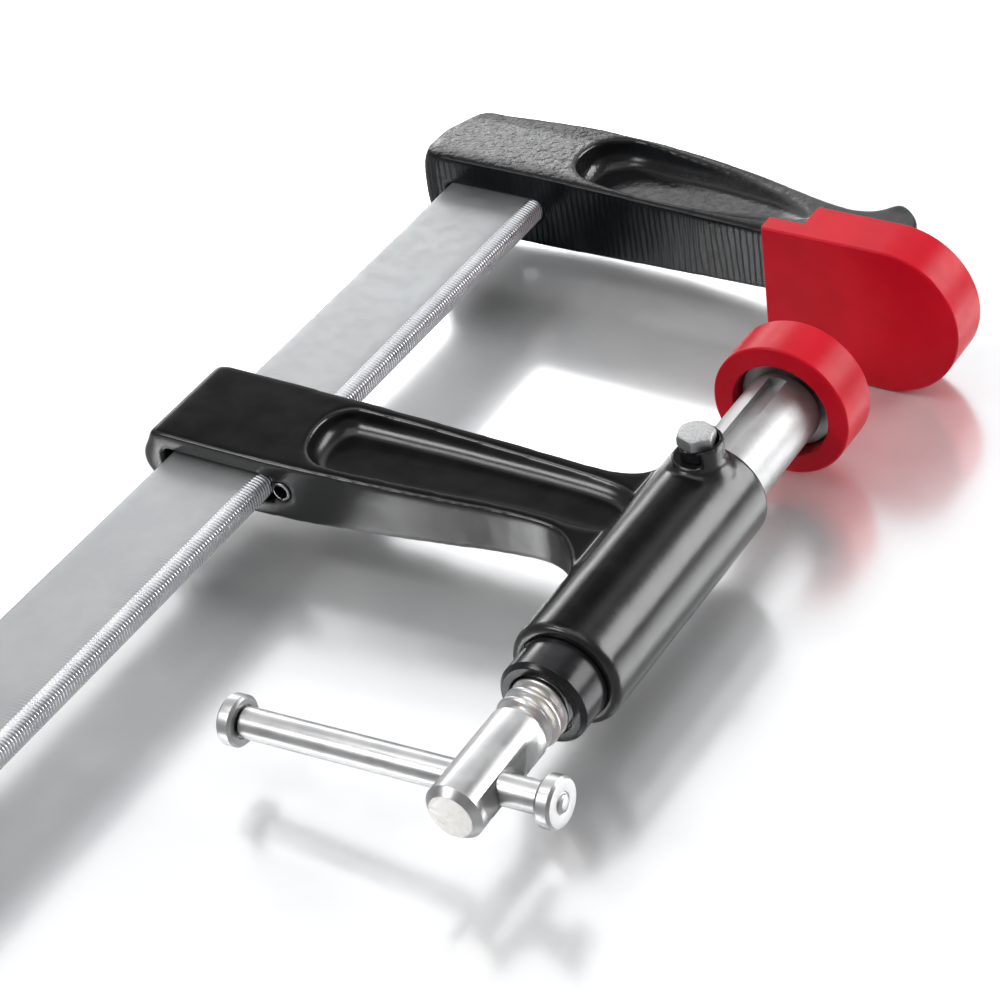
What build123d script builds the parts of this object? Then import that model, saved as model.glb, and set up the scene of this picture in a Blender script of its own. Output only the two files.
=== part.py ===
from build123d import *
import os
import math

os.makedirs("parts", exist_ok=True)

# ---------------------------------------------------------------------------
# F clamp lying on its side.
# Working frame: x = 0 on the throat edge of the rail, y = 0 on the inner face
# of the fixed arm, z = 0 on the middle plane of the rail and the spindle.
# +X runs along the arms from the rail to the spindle, +Y along the rail
# towards the fixed jaw, +Z up.  Every solid is moved by ORIGIN_SHIFT at the
# end, which puts the origin at the bottom centre of the whole clamp.
# All lengths in millimetres.
# ---------------------------------------------------------------------------

# rail
rail_width = 35.0
rail_thickness = 8.0
rail_edge_radius = 3.5       # throat edge
rail_outer_radius = 2.0      # outer edge
rail_y_far = 28.0            # end buried in the fixed arm
rail_y_free = -396.0         # free end

# spindle line
throat = 121.0               # rail edge to spindle axis
thread_d = 18.0
thread_pitch = 4.0
thread_depth = 2.0
spindle_head_d = 17.0
spindle_end_y = -256.5
spindle_head_y = -221.5      # where the plain head meets the thread
spindle_thread_end_y = -141.5
journal_d = 14.0
journal_end_y = -123.0
groove_y = -132.0
head_chamfer = 2.0

# fixed arm
fixed_half_height_rail = 13.7
fixed_half_height_tip = 10.0
fixed_tip_x = 124.0
fixed_edge_radius = 2.4

# fixed jaw cap and the cast plate under it
cap_front_y = -18.0
cap_flange_y = -11.5
cap_back_y = -1.0
cap_left_x = 90.0
cap_skirt_x = 101.5
cap_round_x = 129.0
cap_round_r = 25.0
cap_wall = 4.5
cap_lip_draft = 1.0          # slant of the lip's end face
cap_skirt_draft = 1.8        # slant of the skirt's end face
cap_edge = 0.8

# sliding arm
arm_front_y = -160.0
arm_back_y = -124.0
arm_half_height_rail = 10.5
arm_half_height_hub = 7.4
slot_clear_z = 0.45
slot_left_x = -37.4
slot_right_x = 1.2
hub_r = 16.6
hub_near_y = -198.5
hub_far_y = -110.0
hub_edge_radius = 2.0

# bushing
bush_r = 13.15
bush_near_y = -210.5
bush_inner_y = -181.0
bush_spigot_r = 12.4

# pusher, pressure plate and red cup
pusher_r = 11.75
running_gap = 0.05
pusher_rear_y = -141.0
pusher_front_y = -67.0
keyway_width = 5.6
keyway_floor = 8.9
ball_y = -62.5
ball_r = 3.6
ball_neck_r = 2.4
plate_r = 15.1
plate_rear_y = -65.0
cup_floor_y = -58.6
cup_back_y = -54.6
cup_front_y = -70.3
cup_r = 21.8
cup_bore_r = 15.3

# guide bolt on top of the hub
bolt_y = -119.0
bolt_r = 3.0
bolt_head_af = 10.0
bolt_head_low = 22.4
bolt_head_top = 26.5
nut_low = 18.4
boss_r = 7.6
boss_top = 18.4
collar_top = 23.6

# tommy bar
bar_y = -242.5
bar_r = 4.5
bar_tilt = 4.3               # degrees, left end low
bar_left = -74.0             # shoulder positions along the bar from the spindle axis
bar_right = 20.3
bar_spigot_r = 2.5
bar_cap_r = 7.25
bar_cap_len = 4.8

# spring pin beside the rail
pin_r = 3.0
pin_bore_r = 2.3
pin_x = 3.9
pin_len = 34.0

# rail stop pin near the free end
stop_y = -389.0
stop_r = 3.0
stop_len = 22.0

ORIGIN_SHIFT = (-53.25, 180.65, 25.0)


# --- helpers ---------------------------------------------------------------

def cyl_y(r, y0, y1, x=throat, z=0.0):
    """Cylinder along Y between two stations."""
    return Pos(x, (y0 + y1) / 2, z) * Rot(90, 0, 0) * Cylinder(r, abs(y1 - y0))


def cyl_z(r, z0, z1, x, y):
    return Pos(x, y, (z0 + z1) / 2) * Cylinder(r, z1 - z0)


def box(x0, x1, y0, y1, z0, z1):
    return Pos((x0 + x1) / 2, (y0 + y1) / 2, (z0 + z1) / 2) * Box(x1 - x0, y1 - y0, z1 - z0)


def lathe_y(profile, x=throat, z=0.0):
    """Turn a list of (radius, y) points about the line through (x, z) along Y."""
    wire = Polyline(*[(r, y, 0) for r, y in profile], close=True)
    face = make_face(wire)
    solid = revolve(face, Axis.Y, 360)
    return Pos(x, 0, z) * solid


def soften(shape, edges, radii):
    """Round a set of edges with the largest radius that the shape takes."""
    for r in radii:
        try:
            out = fillet(edges, r)
            if out.is_valid and out.volume > 0:
                print('rounded', len(edges), 'edges at', r)
                return out
        except Exception:
            continue
    return shape


def one(shape):
    s = shape.solids()
    s = sorted(s, key=lambda q: -q.volume)
    return s[0]


def plan_solid(edges, z0, z1):
    face = make_face(edges).face()
    if face.normal_at().Z < 0:
        face = -face
    return one(Pos(0, 0, z0) * extrude(face, z1 - z0))


def side_profile(crown, shoulder_x, end_x, y0, y1):
    """Solid whose X-Z outline is symmetric: a crown line given as (x, half height) from the
    shoulder outwards, closed at the rail end by a bulge that reaches end_x."""
    h = crown[0][1]
    d = shoulder_x - end_x
    last = crown[-1]
    with BuildPart() as bp:
        with BuildSketch(Plane.XZ):
            with BuildLine():
                Spline(*crown, tangents=((1, 0), (1, -0.01)))
                Line(last, (last[0], -last[1]))
                Spline(*[(x, -z) for x, z in crown][::-1], tangents=((-1, -0.01), (-1, 0)))
                Spline((shoulder_x, -h), (end_x + 0.28 * d, -0.72 * h), (end_x, 0), (end_x + 0.28 * d, 0.72 * h),
                       (shoulder_x, h), tangents=((-1, 0), (1, 0)))
            make_face()
        extrude(amount=220, both=True)
    return bp.part & box(end_x - 1, last[0], y0, y1, -60, 60)


def side_wedge(x0, h0, x1, h1, xa, xb, y0, y1, shoulder=8.0):
    """Symmetric wedge in X and Z, half height h0 at x0 to h1 at x1, with a bulged end at xa."""
    with BuildPart() as bp:
        with BuildSketch(Plane.XZ):
            with BuildLine():
                Polyline((xa + shoulder, h0), (x0, h0), (x1, h1), (xb, h1), (xb, -h1), (x1, -h1), (x0, -h0),
                         (xa + shoulder, -h0))
                Spline((xa + shoulder, -h0), (xa + 0.28 * shoulder, -0.72 * h0), (xa, 0),
                       (xa + 0.28 * shoulder, 0.72 * h0), (xa + shoulder, h0), tangents=((-1, 0), (1, 0)))
            make_face()
        extrude(amount=200, both=True)
    return bp.part & box(xa - 1, xb, y0, y1, -60, 60)


# --- rail ------------------------------------------------------------------

def round_bar(body):
    """Round the four long edges of a flat bar lying along Y."""
    by_x = body.edges().filter_by(Axis.Y).sort_by(Axis.X)
    body = fillet(by_x[2:], rail_edge_radius)
    by_x = body.edges().filter_by(Axis.Y).sort_by(Axis.X)
    return fillet(by_x[:2], rail_outer_radius)


def make_rail():
    body = box(-rail_width, 0, rail_y_free, rail_y_far, -rail_thickness / 2, rail_thickness / 2)
    body = round_bar(body)
    end_edges = body.faces().sort_by(Axis.Y)[0].edges()
    body = soften(body, end_edges, [0.6, 0.4])
    # hole for the stop pin and hole for the arm pin
    body -= cyl_z(stop_r, -10, 10, -rail_width / 2, stop_y)
    body -= cyl_z(3.0, -10, 10, -rail_width / 2, 15.0)
    return one(body)


# --- fixed arm -------------------------------------------------------------

def fixed_half(x):
    t = min(max(x / fixed_tip_x, 0.0), 1.0)
    return fixed_half_height_rail + (fixed_half_height_tip - fixed_half_height_rail) * t


def make_fixed_arm():
    back = [(124.0, 17.0), (122.2, 24.0), (117.6, 28.9), (113.6, 30.4), (111.2, 28.2),
            (108.6, 25.2), (104.0, 23.1), (97.5, 22.6), (88.0, 24.1), (76.0, 27.0), (53.5, 31.4),
            (21.0, 34.4), (-8.0, 33.6), (-31.0, 31.4)]
    left = [(-31.0, 31.4), (-39.9, 29.0), (-43.9, 22.0), (-47.3, 12.0), (-46.5, 6.5), (-43.2, 2.2), (-38.2, 0.0)]
    e1 = Spline(*back)
    e2 = Spline(*left)
    e3 = Line((-38.2, 0.0), (122.0, 0.0))
    e4 = Line((122.0, 0.0), (124.0, 2.0))
    e5 = Line((124.0, 2.0), (124.0, 17.0))
    arm = plan_solid([e1, e2, e3, e4, e5], -20, 20)
    arm &= side_wedge(0.0, fixed_half_height_rail, fixed_tip_x, fixed_half_height_tip, -48.1, 140, -20, 60)
    arm = one(arm)

    def rim_edge(e):
        b = e.bounding_box().size
        if b.X < 0.5 and b.Z < 0.5:
            return False                      # seams across the arm
        c = e.center()
        return abs(c.Z) > 6.0 and not (b.Z > 15.0) and (b.X > 1.0 or b.Y > 1.0)
    arm = one(soften(arm, ShapeList([e for e in arm.edges() if rim_edge(e)]), [1.0, 0.8, 0.6, 0.5]))

    # recess on the top and its mirror image underneath, open floor rising to the tip
    upper = [(12.2, 29.0), (17.5, 31.2), (30.0, 30.2), (50.0, 27.2), (72.0, 22.6), (86.0, 18.4), (96.5, 12.0)]
    lower = [(96.5, 12.0), (90.0, 6.4), (75.0, 3.6), (50.0, 3.2), (22.0, 4.2), (12.5, 6.8)]
    end = [(12.5, 6.8), (7.6, 12.5), (6.8, 18.5), (8.4, 25.2), (12.2, 29.0)]
    outline = [Spline(*upper), Spline(*lower), Spline(*end)]
    for s in (1, -1):
        tool = plan_solid(outline, 0, 20)
        floor = box(-5, 120, -5, 45, -20, 0)
        # sloped floor: 3.6 above the middle plane at the rail end, out of the surface near the tip
        slope = math.degrees(math.atan2(7.4, 88.0))
        keep = Pos(10, 0, 3.4) * Rot(0, -slope, 0) * box(-20, 130, -10, 50, 0, 30)
        tool = tool & keep
        tool = one(tool)
        low = [e for e in tool.edges() if e.center().Z < 12.0 and abs(e.bounding_box().size.Z) < 9.0
               and e.center().Z < 11.5 and e.center().Z < fixed_half(e.center().X) - 1.0]
        tool = one(soften(tool, ShapeList(low), [6.0, 3.0]))
        if s < 0:
            tool = mirror(tool, Plane.XY)
        arm = arm - tool
    arm = one(arm)

    # cast jaw plate behind the red cap, wider than the arm, with a gusset back to the tip
    r = cap_round_r - cap_wall - 0.05
    plate = box(cap_skirt_x + cap_wall + 0.05, cap_round_x, cap_flange_y, 0.0, -r, r)
    plate += cyl_y(r, cap_flange_y, 0.0, x=cap_round_x)
    arm = arm + plate
    gusset = loft_gusset()
    arm = arm + gusset
    # pocket for the rail
    pocket = box(-rail_width, 0, -5, rail_y_far, -rail_thickness / 2, rail_thickness / 2)
    pocket = round_bar(pocket)
    arm = arm - pocket
    # blind hole from underneath for the arm pin
    arm -= cyl_z(3.0, -20, 9.0, -rail_width / 2, 15.0)
    return one(arm)


def loft_gusset():
    """Tapered web that carries the jaw plate past the arm's tip."""
    with BuildPart() as bp:
        with BuildSketch(Plane.XY.offset(-fixed_half_height_tip + 1.0)) as sk:
            with BuildLine():
                Polyline((118, -2.0), (144, -2.0), (144, 0.5), (123.5, 17.0), (118, 17.0), close=True)
            make_face()
        extrude(amount=2 * fixed_half_height_tip - 2.0)
    g = bp.part
    g = soften(g, g.edges().filter_by(Axis.Z).sort_by(Axis.X)[-3:-1], [1.0])
    return g


# --- red cap of the fixed jaw ----------------------------------------------

def make_jaw_cap():
    w = cap_wall
    r = cap_round_r
    front = box(cap_left_x, cap_round_x, cap_front_y, cap_flange_y, -r, r) + cyl_y(r, cap_front_y, cap_flange_y, x=cap_round_x)
    skirt = box(cap_skirt_x, cap_round_x, cap_flange_y, cap_back_y, -r, r) + cyl_y(r, cap_flange_y, cap_back_y, x=cap_round_x)
    body = one(front + skirt)
    # the left end faces of lip and skirt lean back towards the round end
    k = cap_lip_draft / (cap_flange_y - cap_front_y)
    x0, x1 = cap_left_x - 1.0 * k, cap_left_x + (cap_flange_y + 1.0 - cap_front_y) * k
    body = body - plan_solid(Polyline((x0, cap_front_y - 1.0), (x1, cap_flange_y + 1.0), (x0 - 5.0, cap_flange_y + 1.0),
                                      (x0 - 5.0, cap_front_y - 1.0), close=True), -r - 1, r + 1)
    k = cap_skirt_draft / (cap_back_y - cap_flange_y)
    x1 = cap_skirt_x + (cap_back_y + 1.0 - cap_flange_y) * k
    body = body - plan_solid(Polyline((cap_skirt_x, cap_flange_y), (x1, cap_back_y + 1.0), (cap_skirt_x - 5.0, cap_back_y + 1.0),
                                      (cap_skirt_x - 5.0, cap_flange_y), close=True), -r - 1, r + 1)
    body = one(body)
    face = body.faces().sort_by(Axis.Y)[0]
    body = one(soften(body, face.edges(), [cap_edge, 0.5]))
    back = body.faces().sort_by(Axis.Y)[-1]
    body = one(soften(body, back.edges(), [0.5, 0.4]))
    ri = r - w
    hollow = box(cap_skirt_x + w, cap_round_x, cap_flange_y, 5, -ri, ri) + cyl_y(ri, cap_flange_y, 5, x=cap_round_x)
    body = body - hollow
    return one(body)


# --- sliding arm -----------------------------------------------------------

def arm_half(x):
    t = min(max(x / 86.0, 0.0), 1.3)
    return arm_half_height_rail + (arm_half_height_hub - arm_half_height_rail) * t


def make_sliding_arm():
    front = [(-44.2, -160.2), (0.0, -159.7), (30.0, -157.2), (60.0, -153.4), (82.0, -150.8),
             (92.0, -151.8), (99.0, -156.4), (104.4, -164.5), (106.5, -174.0)]
    back = [(-41.0, -122.6), (0.0, -122.5), (40.0, -122.0), (80.0, -121.8), (96.0, -121.0),
            (103.0, -118.0), (106.6, -112.5)]
    r = 6.4
    q = r * math.sqrt(0.5)
    e1 = Spline(*front, tangents=((1, 0), (0.1, -1)))
    e2 = Line((106.5, -174.0), (throat, -174.0))
    e3 = Line((throat, -174.0), (throat, -112.5))
    e4 = Line((throat, -112.5), (106.6, -112.5))
    e5 = Spline(*back, tangents=((1, 0), (0.3, 1)))
    rn = 3.2
    qn = rn * math.sqrt(0.5)
    e6 = ThreePointArc((-44.2, -160.2), (-44.2 - qn, -157.0 - qn), (-44.2 - rn, -157.0))
    e7 = Line((-44.2 - rn, -157.0), (-41.0 - r, -129.0))
    e8 = ThreePointArc((-41.0 - r, -129.0), (-41.0 - q, -129.0 + q), (-41.0, -122.6))
    arm = plan_solid([e1, e2, e3, e4, e5, e6, e7, e8], -20, 20)
    crown = [(-33.5, 10.5), (0.0, 10.35), (43.0, 9.0), (86.0, 7.5), (122.0, 7.0)]
    arm &= side_profile(crown, -33.5, -46.4, -200, -60)
    arm = one(arm)
    def rim_edge(e):
        b = e.bounding_box().size
        c = e.center()
        if (b.X < 0.01 and b.Y < 0.01) or (b.X < 0.01 and b.Z < 0.01):
            return False                      # seams up the end and across the top
        return c.X < 106.4 and (c.X < -30 or abs(c.Z) > 3.0)
    arm = one(soften(arm, ShapeList([e for e in arm.edges() if rim_edge(e)]), [0.8, 0.6, 0.5]))

    # recesses, top and bottom
    up = [(13.5, -127.0), (40.0, -126.2), (70.0, -126.0), (92.0, -126.4), (103.0, -128.5), (109.0, -134.0)]
    lo = [(109.0, -134.0), (109.0, -144.0), (100.0, -147.6), (84.0, -147.4), (60.0, -149.4), (36.0, -152.2), (17.0, -154.2)]
    end = [(17.0, -154.2), (9.4, -150.2), (5.8, -142.0), (6.2, -132.4), (9.0, -128.4), (13.5, -127.0)]
    outline = [Spline(*up), Spline(*lo), Spline(*end)]
    for s in (1, -1):
        tool = plan_solid(outline, 3.0, 20)
        low = [e for e in tool.edges() if abs(e.center().Z - 3.0) < 0.01]
        tool = one(soften(tool, ShapeList(low), [5.4, 3.6]))
        if s < 0:
            tool = mirror(tool, Plane.XY)
        arm = arm - tool
    arm = one(arm)
    # hub
    hub = cyl_y(hub_r, hub_near_y, hub_far_y)
    hub = one(soften(hub, hub.edges().filter_by(GeomType.CIRCLE), [hub_edge_radius]))
    arm = one(arm + hub)

    # bolt boss: round pad with a raised guard on the outer side
    boss = cyl_z(boss_r, 10, boss_top, throat, bolt_y)
    foot = Pos(throat, bolt_y, 15.2) * Cone(boss_r + 3.0, boss_r, 3.6)
    foot = foot & box(throat - 20, throat + 20, bolt_y - 20, hub_far_y - 0.6, 0, 30)
    guard = cyl_z(boss_r, 10, collar_top, throat, bolt_y) - cyl_z(boss_r - 1.7, boss_top, 40, throat, bolt_y)
    guard = guard & (Pos(throat, bolt_y, 0) * Rot(0, 0, 35) * box(0, 20, -20, 20, 0, 40))
    arm = one(arm + boss + foot + guard)

    # bores
    arm -= cyl_y(pusher_r + running_gap, -183.0, -100.0)
    arm -= cyl_y(bush_spigot_r, -220.0, bush_inner_y)
    # slot for the rail
    hz = rail_thickness / 2 + slot_clear_z
    slot = box(slot_left_x, slot_right_x, -170, -110, -hz, hz)
    slot = one(soften(slot, slot.edges().filter_by(Axis.Y), [1.5]))
    arm -= slot
    # bore for the spring pin, open to the slot
    arm -= cyl_y(pin_r, arm_front_y - 5, arm_front_y + 0.6 + pin_len, x=pin_x)
    # hole for the guide bolt
    arm -= cyl_z(bolt_r, 5, 40, throat, bolt_y)
    return one(arm)


# --- spindle line ----------------------------------------------------------

def make_bushing():
    prof = [(thread_d / 2 + running_gap, bush_near_y), (bush_r - 1.2, bush_near_y), (bush_r, bush_near_y + 1.2),
            (bush_r, hub_near_y), (bush_spigot_r, hub_near_y), (bush_spigot_r, bush_inner_y),
            (thread_d / 2 + running_gap, bush_inner_y)]
    return one(lathe_y(prof))


def make_spindle():
    rt = thread_d / 2
    rm = rt - thread_depth
    rh = spindle_head_d / 2
    prof = [(0, spindle_end_y), (rh - head_chamfer, spindle_end_y), (rh, spindle_end_y + head_chamfer),
            (rh, spindle_head_y), (rm, spindle_head_y + 1.2)]
    y = spindle_head_y + 1.8
    while y + 4.0 < spindle_thread_end_y:
        # trapezoidal ridge
        prof += [(rm, y), (rt, y + 0.55), (rt, y + 2.0), (rm, y + 2.55)]
        y += thread_pitch
    prof += [(rm, spindle_thread_end_y - 0.4), (rm, spindle_thread_end_y)]
    rj = journal_d / 2
    prof[-1] = (rj, spindle_thread_end_y)
    prof[-2] = (rj, spindle_thread_end_y - 0.4)
    prof += [(rj, groove_y - 2.2), (rj - 2.2, groove_y - 2.2), (rj - 2.2, groove_y + 2.2), (rj, groove_y + 2.2),
             (rj, journal_end_y - 1.0), (rj - 1.0, journal_end_y), (0, journal_end_y)]
    clean = []
    for p in prof:
        if not clean or (abs(p[0] - clean[-1][0]) > 1e-6 or abs(p[1] - clean[-1][1]) > 1e-6):
            clean.append(p)
    body = one(lathe_y(clean))
    # cross hole for the tommy bar
    hole = Pos(throat, bar_y, 0) * Rot(0, 90 - bar_tilt, 0) * Cylinder(bar_r + running_gap, 60)
    body = body - hole
    # shallow ball seat in the nose
    body = body - (Pos(throat, journal_end_y + 2.6, 0) * Sphere(4.0))
    return one(body)


def make_pusher():
    rp = pusher_r
    rb = journal_d / 2 + running_gap
    prof = [(rb, pusher_rear_y), (rp - 0.8, pusher_rear_y), (rp, pusher_rear_y + 0.8), (rp, pusher_front_y - 1.0),
            (rp - 1.0, pusher_front_y), (ball_neck_r, pusher_front_y), (ball_neck_r, ball_y - 2.4), (0, ball_y - 2.4),
            (0, -115.0), (rb, -117.6)]
    body = one(lathe_y(prof))
    body = one(body + Pos(throat, ball_y, 0) * Sphere(ball_r))
    # keyway on top for the guide bolt, running out under the red cup
    key = box(throat - keyway_width / 2, throat + keyway_width / 2, -134.0, pusher_front_y - 3.0, keyway_floor, 20)
    body = body - key
    # two cross holes that pass through the groove of the spindle nose
    for sx in (-1, 1):
        body = body - cyl_z(2.0, -20, 20, throat + sx * (journal_d / 2 - 0.15), groove_y)
    return one(body)


def make_retaining_pins():
    pins = []
    for sx in (-1, 1):
        x = throat + sx * (journal_d / 2 - 0.15)
        half = math.sqrt(pusher_r ** 2 - (journal_d / 2 + 1.85) ** 2) - 0.3
        pins.append(cyl_z(2.0, -half, half, x, groove_y))
    return pins


def make_plate():
    body = lathe_y([(0, plate_rear_y), (plate_r, plate_rear_y), (plate_r, cup_floor_y), (0, cup_floor_y)])
    body = one(soften(body, body.edges().filter_by(GeomType.CIRCLE), [0.5]))
    # socket for the ball, with a mouth that leaves room to swing
    body = body - (Pos(throat, ball_y, 0) * Sphere(ball_r + running_gap))
    mouth = lathe_y([(0, plate_rear_y - 1), (4.3, plate_rear_y - 1), (3.45, ball_y - 0.9), (0, ball_y - 0.9)])
    body = body - mouth
    # groove for the wire retaining ring
    body = body - lathe_y([(3.2, plate_rear_y + 0.5), (4.9, plate_rear_y + 0.5), (4.9, plate_rear_y + 1.7), (3.2, plate_rear_y + 1.7)])
    return one(body)


def make_plate_ring():
    """Wire ring that keeps the ball in the plate; it has a gap to one side."""
    y = plate_rear_y + 1.1
    ring = Pos(throat, y, 0) * Rot(90, 0, 0) * Torus(4.3, 0.5)
    gap = box(throat - 1.0, throat + 1.0, y - 2, y + 2, -8, -2)
    return one(ring - gap)


def make_cup():
    prof = [(cup_bore_r, cup_front_y), (cup_r, cup_front_y), (cup_r, cup_back_y), (0, cup_back_y),
            (0, cup_floor_y), (cup_bore_r, cup_floor_y)]
    body = one(lathe_y(prof))
    edges = body.edges().filter_by(GeomType.CIRCLE)
    outer = ShapeList([e for e in edges if abs(e.radius - cup_r) < 0.01])
    body = one(soften(body, outer, [0.8, 0.6]))
    inner = ShapeList([e for e in body.edges().filter_by(GeomType.CIRCLE)
                       if abs(e.radius - cup_bore_r) < 0.01 and e.center().Y < cup_front_y + 0.5])
    body = one(soften(body, inner, [0.5]))
    return body


def make_ball():
    return one(Pos(throat, journal_end_y + 2.6, 0) * Sphere(3.9))


# --- guide bolt ------------------------------------------------------------

def hex_prism(af, z0, z1, x, y, turn):
    face = RegularPolygon(af / math.sqrt(3), 6)
    return Pos(x, y, z0) * Rot(0, 0, turn) * extrude(face, z1 - z0)


def make_bolt():
    head = hex_prism(bolt_head_af, bolt_head_low, bolt_head_top, throat, bolt_y, 12)
    cone = Pos(throat, bolt_y, bolt_head_top - 1.0) * Cone(bolt_head_af / math.sqrt(3) + 1.0, bolt_head_af / math.sqrt(3) - 0.75, 2.0)
    low = cyl_z(20, 0, bolt_head_top - 1.9, throat, bolt_y)
    head = head & (cone + low)
    shank = cyl_z(bolt_r, keyway_floor + 2.6, bolt_head_low, throat, bolt_y)
    tip = cyl_z(keyway_width / 2 - 0.1, keyway_floor + 0.3, keyway_floor + 2.6, throat, bolt_y)
    return one(head + shank + tip)


def make_lock_nut():
    nut = hex_prism(bolt_head_af, nut_low, bolt_head_low, throat, bolt_y, -6)
    cone = Pos(throat, bolt_y, bolt_head_low - 1.0) * Cone(bolt_head_af / math.sqrt(3) + 1.0, bolt_head_af / math.sqrt(3) - 0.7, 2.0)
    low = cyl_z(20, 0, bolt_head_low - 1.9, throat, bolt_y)
    nut = nut & (cone + low)
    nut = nut - cyl_z(bolt_r, 0, 40, throat, bolt_y)
    return one(nut)


# --- tommy bar -------------------------------------------------------------

def along_bar(shape):
    """Place a shape modelled about +X at the spindle axis onto the tilted bar."""
    return Pos(throat, bar_y, 0) * Rot(0, -bar_tilt, 0) * shape


def cyl_x(r, x0, x1):
    return Pos((x0 + x1) / 2, 0, 0) * Rot(0, 90, 0) * Cylinder(r, x1 - x0)


def make_bar():
    """Bar with a thinner riveted end through each collar, closed by a low dome."""
    l0, l1 = bar_left - bar_cap_len, bar_right + bar_cap_len
    rs = bar_spigot_r
    prof = [(l0 - 0.9, 0.0), (l0 - 0.8, 0.9), (l0 - 0.45, 1.7), (l0, rs), (bar_left, rs), (bar_left, bar_r),
            (bar_right, bar_r), (bar_right, rs), (l1, rs), (l1 + 0.45, 1.7), (l1 + 0.8, 0.9), (l1 + 0.9, 0.0)]
    face = make_face(Polyline(*[(x, r, 0) for x, r in prof], close=True))
    return one(along_bar(one(revolve(face, Axis.X, 360))))


def make_bar_cap(side):
    x0 = bar_right if side > 0 else bar_left - bar_cap_len
    x1 = x0 + bar_cap_len
    body = cyl_x(bar_cap_r, x0, x1)
    body = one(body)
    body = chamfer(body.edges().filter_by(GeomType.CIRCLE), 0.9)
    body = body - cyl_x(bar_spigot_r, x0 - 1, x1 + 1)
    # shallow ring recess around the bar on the inner face
    xi = x0 if side > 0 else x1
    rec = cyl_x(bar_r + 1.0, xi - 0.5, xi + 0.5) - cyl_x(bar_r, xi - 2, xi + 2)
    body = body - rec
    return one(along_bar(one(body)))


# --- small pins ------------------------------------------------------------

def make_spring_pin():
    y0 = arm_front_y + 0.6
    body = cyl_y(pin_r, y0, y0 + pin_len, x=pin_x)
    body = one(soften(body, body.edges().filter_by(GeomType.CIRCLE), [0.4]))
    body = body - cyl_y(pin_bore_r, y0 - 2, y0 + pin_len + 2, x=pin_x)
    body = body - box(pin_x - 0.3, pin_x + 0.3, y0 - 2, y0 + pin_len + 2, -6, 0)
    return one(body)


def make_stop_pin():
    body = cyl_z(stop_r, -stop_len / 2, stop_len / 2, -rail_width / 2, stop_y)
    body = one(soften(body, body.edges().filter_by(GeomType.CIRCLE), [0.6]))
    body = body - cyl_z(1.7, -20, 20, -rail_width / 2, stop_y)
    return one(body)


def make_arm_pin():
    body = cyl_z(3.0, -fixed_half_height_rail + 0.6, 8.9, -rail_width / 2, 15.0)
    return one(body)


# --- build, move to the shared origin, write -------------------------------

nodes = {
    "rail": [make_rail()],
    "fixed_arm": [make_fixed_arm()],
    "fixed_arm_pin": [make_arm_pin()],
    "fixed_jaw_cap": [make_jaw_cap()],
    "rail_stop_pin": [make_stop_pin()],
    "sliding_arm": [make_sliding_arm()],
    "rail_grip_pin": [make_spring_pin()],
    "spindle_bushing": [make_bushing()],
    "guide_bolt": [make_bolt()],
    "guide_lock_nut": [make_lock_nut()],
    "pusher": [make_pusher()],
    "spindle_retaining_pins": make_retaining_pins(),
    "thrust_ball": [make_ball()],
    "pressure_plate": [make_plate()],
    "plate_retaining_ring": [make_plate_ring()],
    "pusher_cap": [make_cup()],
    "spindle": [make_spindle()],
    "tommy_bar": [make_bar()],
    "tommy_bar_cap_left": [make_bar_cap(-1)],
    "tommy_bar_cap_right": [make_bar_cap(1)],
}

low = [1e9, 1e9, 1e9]
high = [-1e9, -1e9, -1e9]
for name, solids in nodes.items():
    moved = [Pos(*ORIGIN_SHIFT) * s for s in solids]
    shape = moved[0] if len(moved) == 1 else Compound(children=moved)
    bb = shape.bounding_box()
    for i, (a, b) in enumerate(((bb.min.X, bb.max.X), (bb.min.Y, bb.max.Y), (bb.min.Z, bb.max.Z))):
        low[i] = min(low[i], a)
        high[i] = max(high[i], b)
    export_step(shape, os.path.join("parts", name + ".step"))
    print(name, "solids", len(moved), "volume", round(sum(s.volume for s in moved), 1), "valid", all(s.is_valid for s in moved),
          [round(v, 2) for v in (bb.min.X, bb.min.Y, bb.min.Z, bb.max.X, bb.max.Y, bb.max.Z)])
print("bounds", [round(v, 3) for v in low], [round(v, 3) for v in high])
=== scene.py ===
import bpy
import bmesh
import math
import numpy as np
from mathutils import Matrix, Vector, noise


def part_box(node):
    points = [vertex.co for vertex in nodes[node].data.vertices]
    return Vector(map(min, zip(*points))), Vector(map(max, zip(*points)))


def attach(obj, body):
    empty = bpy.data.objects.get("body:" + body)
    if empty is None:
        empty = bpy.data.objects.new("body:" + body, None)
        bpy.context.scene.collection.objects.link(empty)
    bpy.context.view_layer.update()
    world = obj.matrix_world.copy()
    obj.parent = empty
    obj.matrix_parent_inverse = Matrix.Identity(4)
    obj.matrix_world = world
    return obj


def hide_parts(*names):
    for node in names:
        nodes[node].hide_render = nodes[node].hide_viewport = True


# ---------------------------------------------------------------------------
# F clamp lying on its side.  Lengths below are in millimetres in the clamp's
# own directions (x = 0 on the throat edge of the rail, y = 0 on the inner face
# of the fixed arm, z = 0 on the middle plane); put() turns them into metres in
# the shared frame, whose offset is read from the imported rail.
# ---------------------------------------------------------------------------

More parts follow.
